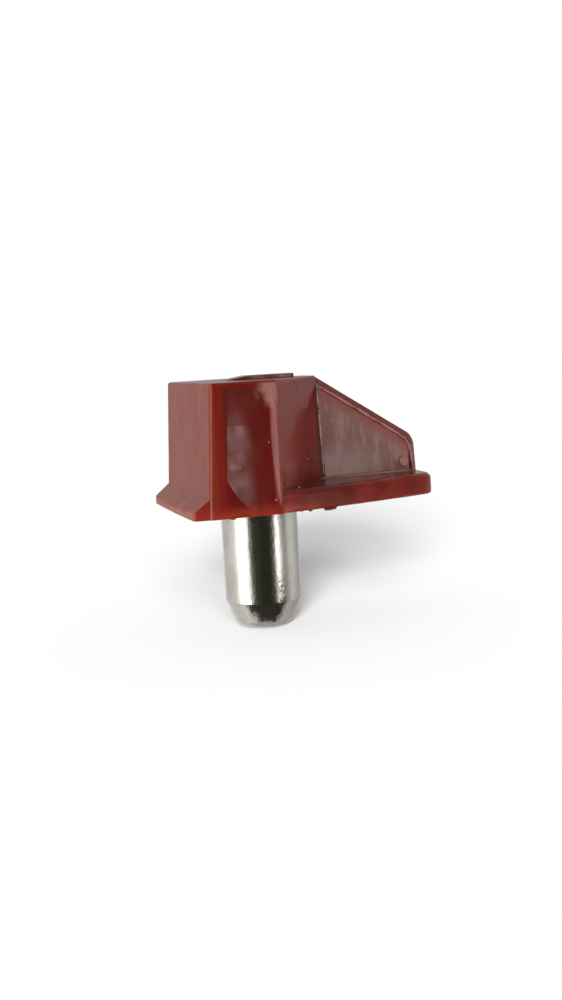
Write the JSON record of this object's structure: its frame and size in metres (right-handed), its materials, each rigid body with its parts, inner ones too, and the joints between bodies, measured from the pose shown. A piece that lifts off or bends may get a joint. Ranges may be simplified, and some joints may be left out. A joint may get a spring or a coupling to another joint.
{
  "type": "shelf support pin",
  "caption": "Plastic shelf bracket moulded on a plated steel pin: drafted tower with a flat shelf face, gusset web and seat plate; the pin plugs into a drilled cabinet side.",
  "frame": {"origin": "on the pin's axis, in the plane of the seat that lies against the cabinet side", "axes": "-Z along the pin into the cabinet side, -X out of the shelf face, +X along the gusset, Y across the bracket; in use -X points up"},
  "size_m": [0.017, 0.011, 0.0164],
  "materials": {
    "moulded_plastic": "glossy dark red-brown moulding with faint flow marks",
    "plated_steel": "bright nickel plating over a turned pin"
  },
  "bodies": {
    "root": {"moulded_bracket": "moulded_plastic", "steel_pin": "plated_steel"}
  },
  "joints": []
}
